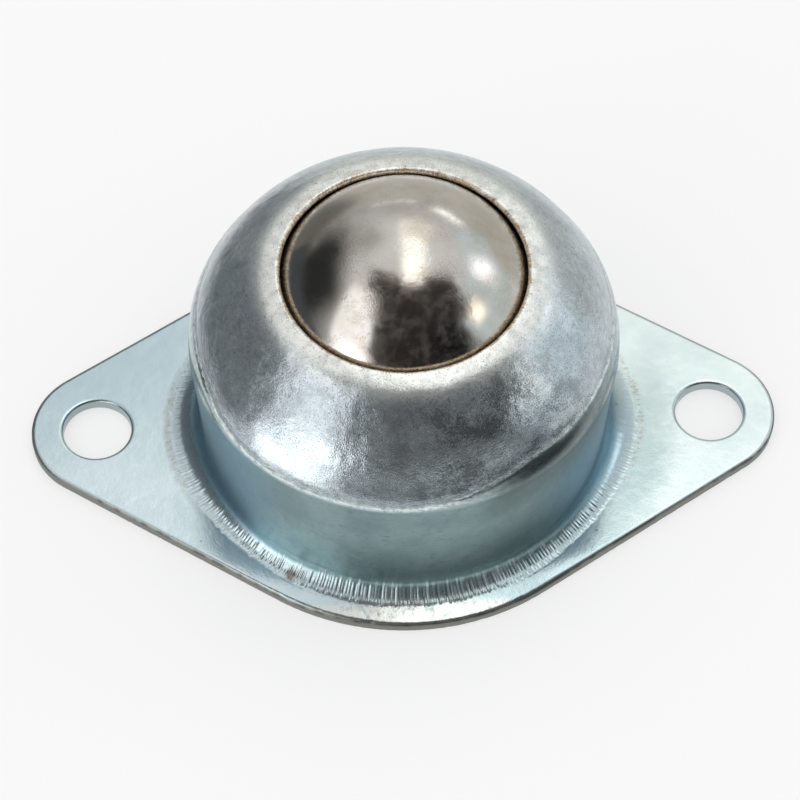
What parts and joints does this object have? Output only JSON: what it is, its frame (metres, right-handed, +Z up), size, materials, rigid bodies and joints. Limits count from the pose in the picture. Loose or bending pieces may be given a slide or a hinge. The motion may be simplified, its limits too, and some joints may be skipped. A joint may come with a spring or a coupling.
{
  "type": "ball transfer unit",
  "caption": "Ball transfer unit: a load ball that rolls in any direction on a bed of small balls inside a drawn steel dome with an eared bolt-on flange.",
  "frame": {"origin": "centre of the flange's underside, the mounting face", "axes": "+Z up through the load ball, X along the line of the two bolt ears, Y across the flange"},
  "size_m": [0.0704, 0.0448, 0.0308],
  "materials": {
    "housing": "drawn steel sheet, bright zinc plate with a blue-white passivation, burnished grey on the dome",
    "bearing_cup": "hardened pressed steel, plain grey",
    "load_ball": "polished chrome steel ball, lightly worn",
    "support_balls": "polished chrome steel balls"
  },
  "bodies": {
    "base": {"housing": "housing", "bearing_cup": "bearing_cup"},
    "ball_bed": {"support_ball_01": "support_balls", "support_ball_02": "support_balls", "support_ball_03": "support_balls", "support_ball_04": "support_balls", "support_ball_05": "support_balls", "support_ball_06": "support_balls", "support_ball_07": "support_balls", "support_ball_08": "support_balls", "support_ball_09": "support_balls", "support_ball_10": "support_balls", "support_ball_11": "support_balls", "support_ball_12": "support_balls", "support_ball_13": "support_balls", "support_ball_14": "support_balls", "support_ball_15": "support_balls", "support_ball_16": "support_balls", "support_ball_17": "support_balls", "support_ball_18": "support_balls", "support_ball_19": "support_balls", "support_row_3": "support_balls", "support_row_4": "support_balls", "support_row_5": "support_balls", "support_row_6": "support_balls", "support_row_7": "support_balls"},
    "ball": {"load_ball": "load_ball"}
  },
  "joints": [
    {"name": "ball_heading", "type": "hinge", "parent": "base", "child": "ball_bed", "pos_m": [0, 0, 0.01808], "axis": [0, 0, 1], "continuous": true},
    {"name": "ball_roll", "type": "hinge", "parent": "ball_bed", "child": "ball", "pos_m": [0, 0, 0.01808], "axis": [1, 0, 0], "continuous": true}
  ]
}
